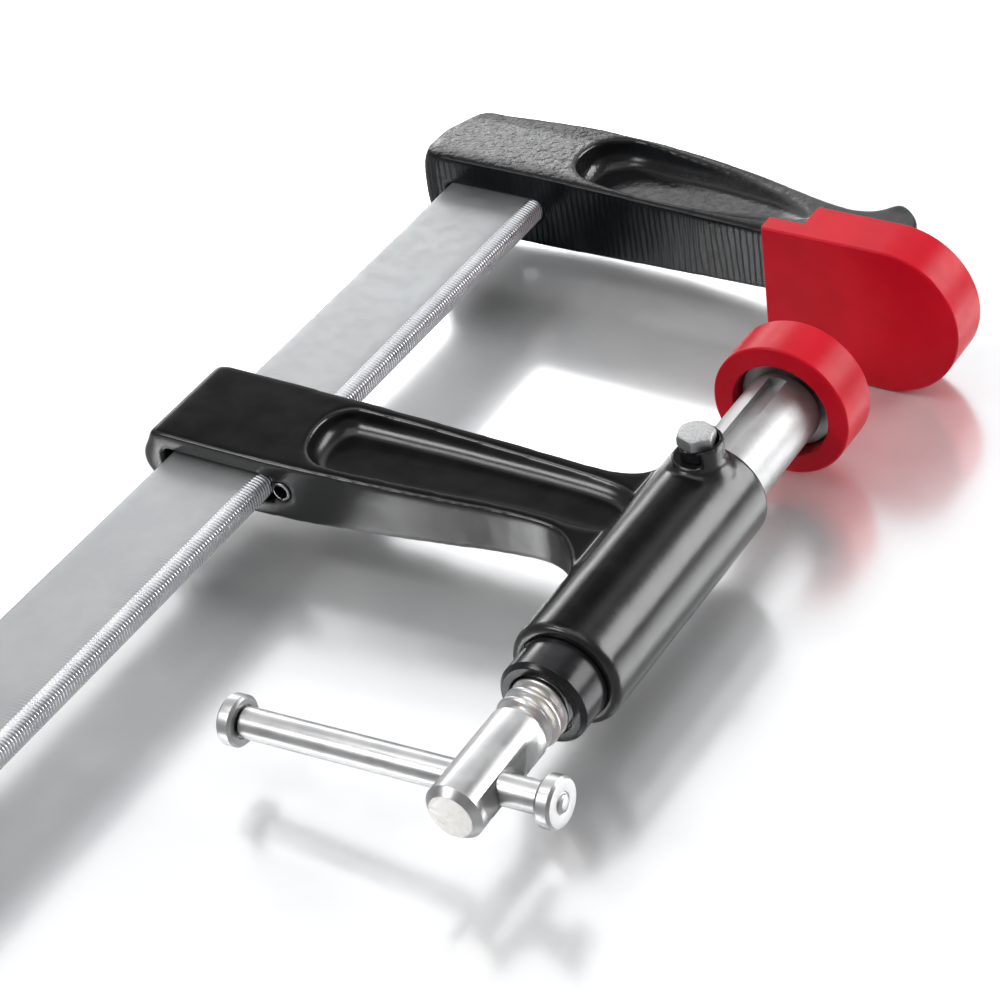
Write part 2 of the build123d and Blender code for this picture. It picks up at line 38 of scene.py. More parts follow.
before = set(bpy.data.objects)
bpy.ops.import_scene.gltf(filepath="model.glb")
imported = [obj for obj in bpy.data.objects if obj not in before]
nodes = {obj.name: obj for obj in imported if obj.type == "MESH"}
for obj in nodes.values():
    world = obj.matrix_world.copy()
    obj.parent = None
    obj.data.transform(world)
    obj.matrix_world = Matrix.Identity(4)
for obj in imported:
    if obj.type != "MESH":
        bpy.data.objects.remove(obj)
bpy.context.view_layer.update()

rail_lo, rail_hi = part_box("rail")
OX = rail_lo[0] + 0.035
OY = rail_lo[1] + 0.396
OZ = 0.5 * (rail_lo[2] + rail_hi[2])
ORG = np.array([OX, OY, OZ])

THROAT = 121.0
RNG = np.random.RandomState(7)


def put(x, y, z):
    return Vector((OX + x * 0.001, OY + y * 0.001, OZ + z * 0.001))


# --- mesh helpers -----------------------------------------------------------

def make_object(name, verts_mm, faces, sharp=35.0):
    """Object from millimetre points in the clamp's directions."""
    v = np.asarray(verts_mm, float) * 0.001 + ORG
    me = bpy.data.meshes.new(name)
    me.from_pydata(v.tolist(), [], [list(f) for f in faces])
    me.update()
    finish_mesh(me, sharp)
    ob = bpy.data.objects.new(name, me)
    bpy.context.scene.collection.objects.link(ob)
    return ob


def finish_mesh(me, sharp=35.0):
    bm = bmesh.new()
    bm.from_mesh(me)
    bmesh.ops.remove_doubles(bm, verts=bm.verts, dist=1e-7)
    bmesh.ops.dissolve_degenerate(bm, edges=bm.edges, dist=1e-8)
    bmesh.ops.recalc_face_normals(bm, faces=bm.faces)
    bm.to_mesh(me)
    bm.free()
    me.shade_smooth()
    if sharp:
        me.set_sharp_from_angle(angle=math.radians(sharp))
    me.update()


def round_profile(points, steps=5):
    """A list of (r, y, corner radius) turned into a smooth list of (r, y)."""
    out = []
    n = len(points)
    for i, p in enumerate(points):
        r = p[2] if len(p) > 2 else 0.0
        if r <= 0 or i in (0, n - 1):
            out.append((p[0], p[1]))
            continue
        a = np.array(points[i - 1][:2], float)
        b = np.array(p[:2], float)
        c = np.array(points[i + 1][:2], float)
        u, w = a - b, c - b
        lu, lw = np.linalg.norm(u), np.linalg.norm(w)
        u, w = u / lu, w / lw
        ang = math.acos(max(-1, min(1, float(u @ w))))
        if ang > math.pi - 0.02:
            out.append((p[0], p[1]))
            continue
        d = min(r / math.tan(ang / 2), 0.48 * lu, 0.48 * lw)
        rr = d * math.tan(ang / 2)
        mid = (u + w) / np.linalg.norm(u + w)
        centre = b + mid * (rr / math.sin(ang / 2))
        p0, p1 = b + u * d - centre, b + w * d - centre
        a0 = math.atan2(p0[1], p0[0])
        a1 = math.atan2(p1[1], p1[0])
        da = (a1 - a0 + math.pi) % (2 * math.pi) - math.pi
        for k in range(steps + 1):
            t = a0 + da * k / steps
            out.append((centre[0] + rr * math.cos(t), centre[1] + rr * math.sin(t)))
    return out


def lathe(points, seg=128, steps=5, x=THROAT, z=0.0, axis="y", wobble=0.0):
    """Verts and faces of a turned shape; profile points are (radius, station, corner radius)."""
    prof = round_profile(points, steps)
    verts, faces, rings = [], [], []
    for r, y in prof:
        if r < 1e-6:
            rings.append([len(verts)])
            verts.append(place(0, y, 0, x, z, axis))
            continue
        ring = []
        for i in range(seg):
            t = 2 * math.pi * i / seg
            ring.append(len(verts))
            verts.append(place(r * math.cos(t), y, r * math.sin(t), x, z, axis))
        rings.append(ring)
    for a, b in zip(rings, rings[1:]):
        if len(a) == 1 and len(b) == 1:
            continue
        if len(a) == 1:
            faces += [(a[0], b[i], b[(i + 1) % seg]) for i in range(seg)]
        elif len(b) == 1:
            faces += [(a[i], b[0], a[(i + 1) % seg]) for i in range(seg)]
        else:
            faces += [(a[i], b[i], b[(i + 1) % seg], a[(i + 1) % seg]) for i in range(seg)]
    return verts, faces


def place(p, s, q, x, z, axis):
    if axis == "y":
        return (x + p, s, z + q)
    if axis == "z":
        return (x + p, z + q, s)          # here x, z give the axis point in x, y
    return (s, p, q)                        # along x, moved afterwards


def join_parts(parts):
    verts, faces = [], []
    for v, f in parts:
        n = len(verts)
        verts += list(v)
        faces += [tuple(i + n for i in g) for g in f]
    return verts, faces


def turn(points, matrix):
    return [tuple(matrix @ Vector(p)) for p in points]


def mesh_arrays(me):
    n = len(me.vertices)
    co = np.empty(n * 3)
    me.vertices.foreach_get("co", co)
    return co.reshape(n, 3)


def set_arrays(me, co):
    me.vertices.foreach_set("co", co.ravel())
    me.update()


def smooth_mesh(me, rounds, strength=0.5, weight=None, taubin=False):
    """Moves each point towards the middle of its neighbours."""
    ne = len(me.edges)
    e = np.empty(ne * 2, np.int64)
    me.edges.foreach_get("vertices", e)
    e = e.reshape(ne, 2)
    co = mesh_arrays(me)
    n = len(co)
    deg = np.bincount(e.ravel(), minlength=n).astype(float)[:, None]
    deg[deg == 0] = 1
    w = 1.0 if weight is None else weight[:, None]
    for k in range(rounds):
        acc = np.zeros_like(co)
        for c in range(3):
            acc[:, c] = np.bincount(e[:, 0], co[e[:, 1], c], n) + np.bincount(e[:, 1], co[e[:, 0], c], n)
        s = strength
        if taubin and k % 2 == 1:
            s = -strength * 1.03
        co += (acc / deg - co) * s * w
    set_arrays(me, co)


def remeshed(node, name, voxel):
    """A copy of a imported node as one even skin."""
    me = nodes[node].data.copy()
    me.name = name
    bm = bmesh.new()
    bm.from_mesh(me)
    bmesh.ops.remove_doubles(bm, verts=bm.verts, dist=2e-7)
    bm.to_mesh(me)
    bm.free()
    ob = bpy.data.objects.new(name, me)
    bpy.context.scene.collection.objects.link(ob)
    m = ob.modifiers.new("skin", "REMESH")
    m.mode = "VOXEL"
    m.voxel_size = voxel
    m.use_smooth_shade = True
    bpy.context.view_layer.update()
    dg = bpy.context.evaluated_depsgraph_get()
    new = bpy.data.meshes.new_from_object(ob.evaluated_get(dg))
    new.name = name
    ob.modifiers.clear()
    ob.data = new
    new.materials.clear()
    return ob


def normals_of(me):
    n = len(me.vertices)
    no = np.empty(n * 3)
    me.vertices.foreach_get("normal", no)
    return no.reshape(n, 3)


def lattice_noise(p, seed):
    """Smooth value noise on an (n, 3) array, from -1 to 1."""
    rs = np.random.RandomState(seed)
    table = rs.uniform(-1, 1, 4096)
    i = np.floor(p).astype(np.int64)
    f = p - i
    f = f * f * f * (f * (f * 6 - 15) + 10)
    out = np.zeros(len(p))
    for dx in (0, 1):
        for dy in (0, 1):
            for dz in (0, 1):
                h = ((i[:, 0] + dx) * 73856093) ^ ((i[:, 1] + dy) * 19349663) ^ ((i[:, 2] + dz) * 83492791)
                v = table[h & 4095]
                wx = f[:, 0] if dx else 1 - f[:, 0]
                wy = f[:, 1] if dy else 1 - f[:, 1]
                wz = f[:, 2] if dz else 1 - f[:, 2]
                out += v * wx * wy * wz
    return out


def step01(x, a, b):
    t = np.clip((x - a) / (b - a), 0, 1)
    return t * t * (3 - 2 * t)


def fill_end(me, stations, wanted, root, half):
    """Pulls a casting's outer end out to a wanted plan outline, fading to nothing at x = root (mm)."""
    co = mesh_arrays(me)
    p = (co - ORG) * 1000.0
    mid = np.abs(p[:, 2]) < 7.0
    now = []
    for y, w in zip(stations, wanted):
        near = mid & (np.abs(p[:, 1] - y) < 0.8)
        now.append(p[near, 0].min() if near.any() else w)
    x_now = np.interp(p[:, 1], stations, now)
    x_new = np.interp(p[:, 1], stations, wanted)
    t = np.clip((root - p[:, 0]) / np.maximum(root - x_now, 1.0), 0, 1.0)
    full = 1 - np.clip(np.abs(p[:, 2]) / half, 0, 1) ** 3      # the corners stay round
    co[:, 0] += np.minimum(x_new - x_now, 0.0) * t * t * full * 0.001
    set_arrays(me, co)


# --- materials ---------------------------------------------------------------

class Mat:
    """Small wrapper that keeps the node code short."""

    def __init__(self, name, color=(0.8, 0.8, 0.8), metallic=0.0, rough=0.5, **sockets):
        self.m = bpy.data.materials.new(name)
        self.m.use_nodes = True
        self.t = self.m.node_tree
        self.t.nodes.clear()
        self.out = self.t.nodes.new("ShaderNodeOutputMaterial")
        self.b = self.t.nodes.new("ShaderNodeBsdfPrincipled")
        self.t.links.new(self.b.outputs[0], self.out.inputs[0])
        self.coord = self.t.nodes.new("ShaderNodeTexCoord")
        self.set("Base Color", (*color, 1.0))
        self.set("Metallic", metallic)
        self.set("Roughness", rough)
        self.last_bump = None
        for k, v in sockets.items():
            self.set(k.replace("_", " "), v)

    def set(self, key, value):
        s = self.b.inputs[key]
        if hasattr(value, "is_linked") or hasattr(value, "links"):
            self.t.links.new(value, s)
        else:
            s.default_value = value

    def node(self, kind, **props):
        n = self.t.nodes.new(kind)
        for k, v in props.items():
            setattr(n, k, v)
        return n

    def link(self, a, b):
        self.t.links.new(a, b)

    def mapped(self, scale=(1, 1, 1), rot=(0, 0, 0), loc=(0, 0, 0)):
        n = self.node("ShaderNodeMapping")
        n.inputs["Scale"].default_value = scale
        n.inputs["Rotation"].default_value = rot
        n.inputs["Location"].default_value = loc
        self.link(self.coord.outputs["Object"], n.inputs["Vector"])
        return n.outputs[0]

    def noise(self, scale, detail=4.0, rough=0.55, vec=None, distortion=0.0):
        n = self.node("ShaderNodeTexNoise")
        n.inputs["Scale"].default_value = scale
        n.inputs["Detail"].default_value = detail
        n.inputs["Roughness"].default_value = rough
        n.inputs["Distortion"].default_value = distortion
        self.link(vec or self.coord.outputs["Object"], n.inputs["Vector"])
        return n.outputs["Fac"]

    def voronoi(self, scale, vec=None, feature="F1"):
        n = self.node("ShaderNodeTexVoronoi", feature=feature)
        n.inputs["Scale"].default_value = scale
        self.link(vec or self.coord.outputs["Object"], n.inputs["Vector"])
        return n.outputs["Distance"]

    def ramp(self, fac, stops):
        n = self.node("ShaderNodeValToRGB")
        el = n.color_ramp.elements
        while len(el) < len(stops):
            el.new(0.5)
        for e, (p, c) in zip(el, stops):
            e.position = p
            e.color = (*c, 1.0) if len(c) == 3 else c
        self.link(fac, n.inputs[0])
        return n.outputs[0]

    def span(self, fac, a, b, lo, hi):
        n = self.node("ShaderNodeMapRange")
        n.interpolation_type = "SMOOTHSTEP"
        for k, v in zip(("From Min", "From Max", "To Min", "To Max"), (a, b, lo, hi)):
            n.inputs[k].default_value = v
        self.link(fac, n.inputs["Value"])
        return n.outputs[0]

    def math(self, op, a, b=None, c=None):
        n = self.node("ShaderNodeMath", operation=op)
        for i, v in enumerate((a, b, c)):
            if v is None:
                continue
            if isinstance(v, (int, float)):
                n.inputs[i].default_value = v
            else:
                self.link(v, n.inputs[i])
        return n.outputs[0]

    def mix(self, fac, a, b):
        n = self.node("ShaderNodeMix", data_type="RGBA")
        for i, v in ((0, fac), (6, a), (7, b)):
            if isinstance(v, (int, float)):
                n.inputs[i].default_value = v
            elif isinstance(v, tuple):
                n.inputs[i].default_value = (*v, 1.0)
            else:
                self.link(v, n.inputs[i])
        return n.outputs[2]

    def bump(self, height, strength=0.3, distance=0.0002):
        n = self.node("ShaderNodeBump")
        if isinstance(strength, (int, float)):
            n.inputs["Strength"].default_value = strength
        else:
            self.link(strength, n.inputs["Strength"])
        n.inputs["Distance"].default_value = distance
        self.link(height, n.inputs["Height"])
        if self.last_bump is not None:
            self.link(self.last_bump, n.inputs["Normal"])
        self.last_bump = n.outputs[0]
        self.link(self.last_bump, self.b.inputs["Normal"])
        return self.last_bump

    def axis(self, which, kind="Object"):
        n = self.node("ShaderNodeSeparateXYZ")
        self.link(self.coord.outputs[kind], n.inputs[0])
        return n.outputs["XYZ".index(which)]


def mat_rail():
    m = Mat("zinc_matt_rail", metallic=0.78)
    blot = m.noise(46, 5, 0.6)
    grain = m.noise(1400, 3, 0.6, m.mapped((1, 0.12, 1)))
    spots = m.noise(260, 2, 0.5)
    m.set("Base Color", m.mix(m.span(blot, 0.3, 0.7, 0.0, 1.0), (0.272, 0.281, 0.286), (0.315, 0.322, 0.322)))
    r = m.math("ADD", m.span(blot, 0.25, 0.75, 0.40, 0.50), m.span(spots, 0.35, 0.7, 0.0, 0.05))
    m.set("Roughness", r)
    m.bump(grain, 0.10, 0.00006)
    m.bump(blot, 0.08, 0.0004)
    return m.m


def mat_rail_edge():
    m = Mat("zinc_serrated_edge", metallic=0.95)
    blot = m.noise(90, 5, 0.6)
    m.set("Base Color", m.mix(m.span(blot, 0.3, 0.7, 0.0, 1.0), (0.50, 0.51, 0.535), (0.57, 0.575, 0.595)))
    m.set("Roughness", m.span(blot, 0.25, 0.75, 0.26, 0.31))
    m.bump(m.noise(900, 3, 0.6), 0.12, 0.00008)
    return m.m


def mat_cast_black():
    """Black paint over a rough casting: orange peel and soft lumps, with painted light in the specular level: painted
    shade along the top's rims and on the sunk recess floor, and a painted sheen on the inner face.
    """
    m = Mat("black_rough_casting", metallic=0.0, Specular_IOR_Level=0.5)
    peel = m.voronoi(760, feature="SMOOTH_F1")
    lump = m.noise(420, 3, 0.55)
    fine = m.noise(1500, 3, 0.6)
    x = m.axis("X")
    nz = m.axis("Z", "Normal")
    ny = m.axis("Y", "Normal")
    # the block round the rail is the roughest place
    near = m.span(x, OX - 0.004, OX + 0.022, 1.0, 0.25)
    side = m.span(ny, -0.75, -0.5, 0.0, 1.0)             # the inner face is machined, not painted rough
    face = m.span(ny, -0.97, -0.88, 1.0, 0.0)
    strength = m.math("MULTIPLY", near, side)
    m.bump(lump, m.math("MULTIPLY", strength, 0.75), 0.00045)
    m.bump(peel, m.math("MULTIPLY", strength, 0.35), 0.00030)
    m.bump(fine, 0.10, 0.00008)
    # up-and-down ripples left by the tool on the inner face
    rip = m.node("ShaderNodeTexWave", wave_type="BANDS", bands_direction="X")
    rip.inputs["Scale"].default_value = 150
    rip.inputs["Distortion"].default_value = 4.5
    rip.inputs["Detail"].default_value = 3
    rip.inputs["Detail Scale"].default_value = 0.9
    m.link(m.mapped((1, 1, 0.22), rot=(0, 0.12, 0)), rip.inputs["Vector"])
    m.bump(rip.outputs["Fac"], m.math("MULTIPLY", face, 0.30), 0.00025)
    big = m.noise(60, 3, 0.5, m.mapped((1, 1, 0.4)))
    base = m.mix(face, (0.009, 0.009, 0.010), m.mix(m.span(big, 0.35, 0.7, 0.0, 1.0), (0.004, 0.005, 0.006), (0.012, 0.014, 0.016)))
    # painted shade: the specular level is cut on the sunk floor of the recess so that it reads dark
    top = m.math("SUBTRACT", OZ + 0.0137, m.math("MULTIPLY", m.math("SUBTRACT", x, OX), 0.0037 / 0.124))
    sunk = m.span(m.math("SUBTRACT", m.axis("Z"), top), -0.0022, -0.0009, 1.0, 0.0)
    flat = m.span(nz, 0.86, 0.97, 0.0, 1.0)
    recess_painted_shade = m.math("SUBTRACT", 1.0, m.math("MULTIPLY", m.math("MULTIPLY", sunk, flat), 0.85))
    # painted light: on the top the specular level falls off towards the front and back rims (painted shade), so the
    # sheen sits mid-block; on the inner face it rises from left to right along x (painted sheen)
    y = m.axis("Y")
    front_rim_painted_shade = m.span(y, OY + 0.0018, OY + 0.0085, 0.25, 1.12)
    back_rim_painted_shade = m.span(y, OY + 0.0235, OY + 0.0275, 1.0, 0.45)
    face_painted_sheen_along = m.math("ADD", m.span(x, OX + 0.015, OX + 0.105, 0.045, 0.30), m.span(x, OX - 0.044, OX - 0.018, 0.15, 0.0))
    painted = m.math("MULTIPLY", m.math("MULTIPLY", front_rim_painted_shade, back_rim_painted_shade), 0.5)
    painted_light_spec_level = m.math("ADD", m.math("MULTIPLY", face, face_painted_sheen_along), m.math("MULTIPLY", m.math("SUBTRACT", 1.0, face), painted))
    m.set("Specular IOR Level", m.math("MULTIPLY", painted_light_spec_level, recess_painted_shade))
    m.set("Base Color", base)
    rough = m.math("ADD", m.span(lump, 0.3, 0.7, 0.15, 0.24), m.span(fine, 0.3, 0.7, -0.02, 0.05))
    m.set("Roughness", rough)
    return m.m


def mat_paint_black():
    """Smooth black paint, satin on level tops and glossier on the flanks; this spread is painted light set by face
    direction.
    """
    m = Mat("black_satin_paint", metallic=0.0)
    # painted shade: level (upward) faces get a lower specular level so the tops read darker; front (-Y) faces get extra
    # specular as a painted sheen
    painted_light_spec_level = m.span(m.axis("Z", "Normal"), 0.90, 0.99, 0.5, 0.02)
    m.set("Specular IOR Level", m.math("ADD", painted_light_spec_level, m.span(m.axis("Y", "Normal"), -0.97, -0.90, 0.22, 0.0)))
    soft = m.noise(110, 3, 0.5)
    fine = m.noise(1700, 3, 0.6)
    mid = m.noise(420, 3, 0.55)
    m.set("Base Color", m.mix(m.span(soft, 0.3, 0.7, 0.0, 1.0), (0.0050, 0.0048, 0.0050), (0.0085, 0.0082, 0.0086)))
    m.set("Roughness", m.math("ADD", m.span(soft, 0.2, 0.8, 0.21, 0.26), m.span(fine, 0.3, 0.7, -0.01, 0.02)))
    m.bump(soft, 0.10, 0.0006)
    m.bump(mid, 0.05, 0.00018)
    m.bump(fine, 0.04, 0.00004)
    return m.m


def radial_vec(m, x=THROAT, z=0.0, y_scale=1.0, around=0.02):
    """Coordinates for turned parts about the screw's line: fine across, long around."""
    n = m.node("ShaderNodeMapping")
    n.inputs["Location"].default_value = (-(OX + x * 0.001), 0, -(OZ + z * 0.001))
    m.link(m.coord.outputs["Object"], n.inputs["Vector"])
    n.vector_type = "POINT"
    s = m.node("ShaderNodeMapping")
    s.inputs["Scale"].default_value = (around, y_scale, around)
    m.link(n.outputs[0], s.inputs["Vector"])
    return s.outputs[0]


def mat_turned(name, color_a, color_b, rough, lines=0.12, tint=0.0, metallic=1.0):
    m = Mat(name, metallic=metallic)
    vec = radial_vec(m, y_scale=1.0, around=0.03)
    line = m.noise(2600, 4, 0.7, vec)
    soft = m.noise(120, 4, 0.55)
    spots = m.noise(800, 3, 0.6)
    col = m.mix(m.span(soft, 0.3, 0.7, 0.0, 1.0), color_a, color_b)
    if tint:
        hue = m.noise(150, 2, 0.5, m.mapped((1, 2.2, 1)))
        rainbow = m.ramp(hue, [(0.30, (0.62, 0.66, 0.80)), (0.42, (0.80, 0.80, 0.80)), (0.50, (0.86, 0.78, 0.55)),
                               (0.58, (0.80, 0.58, 0.66)), (0.70, (0.58, 0.74, 0.66))])
        col = m.mix(tint, col, rainbow)
    m.set("Base Color", col)
    m.set("Roughness", m.math("ADD", m.span(soft, 0.3, 0.7, rough - 0.03, rough + 0.04), m.span(spots, 0.4, 0.7, 0.0, 0.05)))
    m.bump(line, lines, 0.00005)
    m.bump(spots, 0.03, 0.00005)
    return m.m


def mat_sawn():
    m = Mat("steel_pale_end", metallic=0.75)
    grit = m.noise(2300, 4, 0.7)
    blot = m.noise(320, 3, 0.6)
    m.set("Base Color", m.mix(m.span(blot, 0.35, 0.65, 0.0, 1.0), (0.50, 0.49, 0.47), (0.63, 0.62, 0.60)))
    m.set("Roughness", m.span(blot, 0.3, 0.7, 0.42, 0.55))
    m.bump(grit, 0.35, 0.00012)
    m.bump(blot, 0.15, 0.0002)
    return m.m


def mat_red():
    m = Mat("red_moulded_plastic", metallic=0.0)
    soft = m.noise(70, 3, 0.5)
    fine = m.noise(1900, 3, 0.6)
    mid = m.noise(300, 4, 0.6)
    m.set("Base Color", m.mix(m.span(soft, 0.3, 0.7, 0.0, 1.0), (0.46, 0.0032, 0.0135), (0.53, 0.0045, 0.017)))
    m.set("Roughness", m.math("ADD", m.span(mid, 0.3, 0.7, 0.28, 0.35), m.span(fine, 0.3, 0.7, 0.0, 0.04)))
    m.set("Specular IOR Level", 0.12)
    m.set("Subsurface Weight", 0.12)
    m.set("Subsurface Radius", (0.004, 0.0006, 0.0004))
    m.set("Subsurface Scale", 0.6)
    m.bump(mid, 0.05, 0.0002)
    m.bump(fine, 0.06, 0.00005)
    return m.m


def mat_black_oxide():
    m = Mat("black_turned_steel", metallic=0.0, Specular_IOR_Level=0.26)
    line = m.noise(2400, 4, 0.7, radial_vec(m, around=0.03))
    soft = m.noise(160, 3, 0.5)
    m.set("Base Color", m.mix(m.span(soft, 0.3, 0.7, 0.0, 1.0), (0.008, 0.008, 0.009), (0.016, 0.016, 0.018)))
    m.set("Roughness", m.span(soft, 0.3, 0.7, 0.16, 0.25))
    m.bump(line, 0.08, 0.00005)
    m.bump(soft, 0.08, 0.0003)
    return m.m


def mat_bolt_top():
    m = Mat("bolt_rough_top", metallic=0.7)
    grit = m.noise(1500, 4, 0.7)
    pit = m.voronoi(1300)
    m.set("Base Color", m.ramp(grit, [(0.35, (0.28, 0.285, 0.29)), (0.6, (0.46, 0.465, 0.465))]))
    m.set("Roughness", m.span(grit, 0.3, 0.7, 0.35, 0.55))
    m.bump(grit, 0.6, 0.0002)
    m.bump(pit, 0.3, 0.00015)
    return m.m


def mat_steel():
    m = Mat("steel_plain_pin", metallic=1.0)
    soft = m.noise(300, 3, 0.5)
    m.set("Base Color", m.mix(m.span(soft, 0.3, 0.7, 0.0, 1.0), (0.20, 0.20, 0.205), (0.34, 0.34, 0.345)))
    m.set("Roughness", m.span(soft, 0.3, 0.7, 0.24, 0.36))
    m.bump(m.noise(1800, 3, 0.6), 0.15, 0.00006)
    return m.m


def mat_floor():
    m = Mat("studio_floor")
    m.t.nodes.remove(m.b)
    grain = m.noise(700, 3, 0.6, m.mapped((1.0, 0.3, 1)))
    blot = m.noise(22, 4, 0.6)
    dif = m.node("ShaderNodeBsdfDiffuse")
    glo = m.node("ShaderNodeBsdfGlossy")
    mixer = m.node("ShaderNodeMixShader")
    mixer.inputs[0].default_value = 0.62
    m.link(m.mix(m.span(blot, 0.3, 0.7, 0.0, 1.0), (0.84, 0.85, 0.86), (0.88, 0.885, 0.89)), dif.inputs["Color"])
    m.link(m.mix(m.span(blot, 0.3, 0.7, 0.0, 1.0), (0.88, 0.89, 0.90), (0.94, 0.94, 0.945)), glo.inputs["Color"])
    m.link(m.span(blot, 0.3, 0.7, 0.19, 0.25), glo.inputs["Roughness"])
    bump = m.node("ShaderNodeBump")
    bump.inputs["Strength"].default_value = 0.04
    bump.inputs["Distance"].default_value = 0.0001
    m.link(grain, bump.inputs["Height"])
    m.link(bump.outputs[0], glo.inputs["Normal"])
    m.link(dif.outputs[0], mixer.inputs[1])
    m.link(glo.outputs[0], mixer.inputs[2])
    m.link(mixer.outputs[0], m.out.inputs[0])
    return m.m


MAT = {
    "rail": mat_rail(), "edge": mat_rail_edge(), "cast": mat_cast_black(), "paint": mat_paint_black(),
    "zinc": mat_turned("zinc_bright_turned", (0.36, 0.36, 0.365), (0.43, 0.43, 0.43), 0.50, 0.10),
    "head": mat_turned("zinc_screw_head", (0.41, 0.41, 0.415), (0.49, 0.49, 0.49), 0.34, 0.12),
    "thread": mat_turned("zinc_thread", (0.44, 0.44, 0.45), (0.55, 0.545, 0.54), 0.32, 0.08, tint=0.30),
    "bar": mat_turned("zinc_bar", (0.39, 0.39, 0.395), (0.46, 0.46, 0.458), 0.33, 0.08),
    "sawn": mat_sawn(), "red": mat_red(), "oxide": mat_black_oxide(), "bolt": mat_bolt_top(), "steel": mat_steel(),
}


def dress(ob, *mats):
    ob.data.materials.clear()
    for m in mats:
        ob.data.materials.append(MAT[m])
    return ob


# --- camera, floor and light --------------------------------------------------

cam_data = bpy.data.cameras.new("camera")
cam = bpy.data.objects.new("camera", cam_data)
bpy.context.scene.collection.objects.link(cam)
right = Vector((0.85556562, 0.50521702, -0.11297448))
up = Vector((-0.229939, 0.566369, 0.791426))
forward = Vector((-0.46382712, 0.65113982, -0.600734))
rot = Matrix((right, up, -forward)).transposed()
cam.matrix_world = Matrix.Translation(Vector((0.413886, -0.520997, 0.544806))) @ rot.to_4x4()
cam_data.lens = 109.23
cam_data.sensor_width = 36.0
cam_data.clip_start = 0.01
cam_data.clip_end = 50
bpy.context.scene.camera = cam

fm = bpy.data.meshes.new("floor")
fm.from_pydata([(-6, -6, -0.0002), (6, -6, -0.0002), (6, 6, -0.0002), (-6, 6, -0.0002)], [], [(0, 1, 2, 3)])
floor = bpy.data.objects.new("floor", fm)
bpy.context.scene.collection.objects.link(floor)
fm.materials.append(mat_floor())


def area(name, loc, target, size, power, size_y=None, color=(1, 1, 1)):
    d = bpy.data.lights.new(name, "AREA")
    d.energy = power
    d.color = color
    d.shape = "RECTANGLE"
    d.size = size
    d.size_y = size_y or size
    o = bpy.data.objects.new(name, d)
    bpy.context.scene.collection.objects.link(o)
    o.location = loc
    o.rotation_mode = "QUATERNION"
    o.rotation_quaternion = (Vector(target) - Vector(loc)).to_track_quat("-Z", "Y")
    return o


def softbox(name, at, direction, distance, w, h, radiance):
    """Rectangular light that a point sees in the given direction."""
    d = Vector(direction).normalized() * distance
    return area(name, Vector(at) + d, at, w, radiance * math.pi * w * h, h)


softbox("top_soft", (0, 0, 0), (0.05, -0.1, 1.0), 1.6, 1.3, 1.3, 1.3)
softbox("back_right", (0.03, 0.0, 0.04), (0.64, 0.65, 0.34), 1.7, 1.1, 0.78, 8.5)
softbox("front_left", (-0.02, 0.0, 0.03), (-0.464, -0.651, 0.601), 1.7, 0.6, 0.45, 12.0)
softbox("left_low", (0.05, -0.02, 0.03), (-0.72, 0.65, 0.27), 1.7, 0.5, 0.4, 7.0)
softbox("back_left", (-0.073, 0.195, 0.039), (-0.486, 0.714, 0.505), 1.7, 0.40, 0.34, 5.5)
softbox("up_left", (0, 0, 0.03), (-0.46, -0.20, 0.87), 1.6, 0.45, 0.35, 8.0)

world = bpy.data.worlds.new("studio")
bpy.context.scene.world = world
world.use_nodes = True
wt = world.node_tree
wt.nodes.clear()
wo = wt.nodes.new("ShaderNodeOutputWorld")
wb = wt.nodes.new("ShaderNodeBackground")
wt.links.new(wb.outputs[0], wo.inputs[0])
wc = wt.nodes.new("ShaderNodeTexCoord")
wn = wt.nodes.new("ShaderNodeVectorMath")
wn.operation = "NORMALIZE"
wt.links.new(wc.outputs["Generated"], wn.inputs[0])
wd = wt.nodes.new("ShaderNodeVectorMath")
wd.operation = "DOT_PRODUCT"
wd.inputs[1].default_value = Vector((-0.42, 0.66, 0.62)).normalized()
wt.links.new(wn.outputs[0], wd.inputs[0])
# one broad pale panel behind the clamp, a dimmer room elsewhere
wr = wt.nodes.new("ShaderNodeMapRange")
wr.interpolation_type = "SMOOTHSTEP"
for k, v in zip(("From Min", "From Max", "To Min", "To Max"), (0.72, 0.90, 0.30, 1.12)):
    wr.inputs[k].default_value = v
wt.links.new(wd.outputs["Value"], wr.inputs["Value"])
wb.inputs[0].default_value = (0.985, 0.99, 1.0, 1)
wt.links.new(wr.outputs[0], wb.inputs[1])

bpy.context.scene.view_settings.view_transform = "Standard"
bpy.context.scene.view_settings.look = "None"


# --- rail with serrated edges ---------------------------------------------------

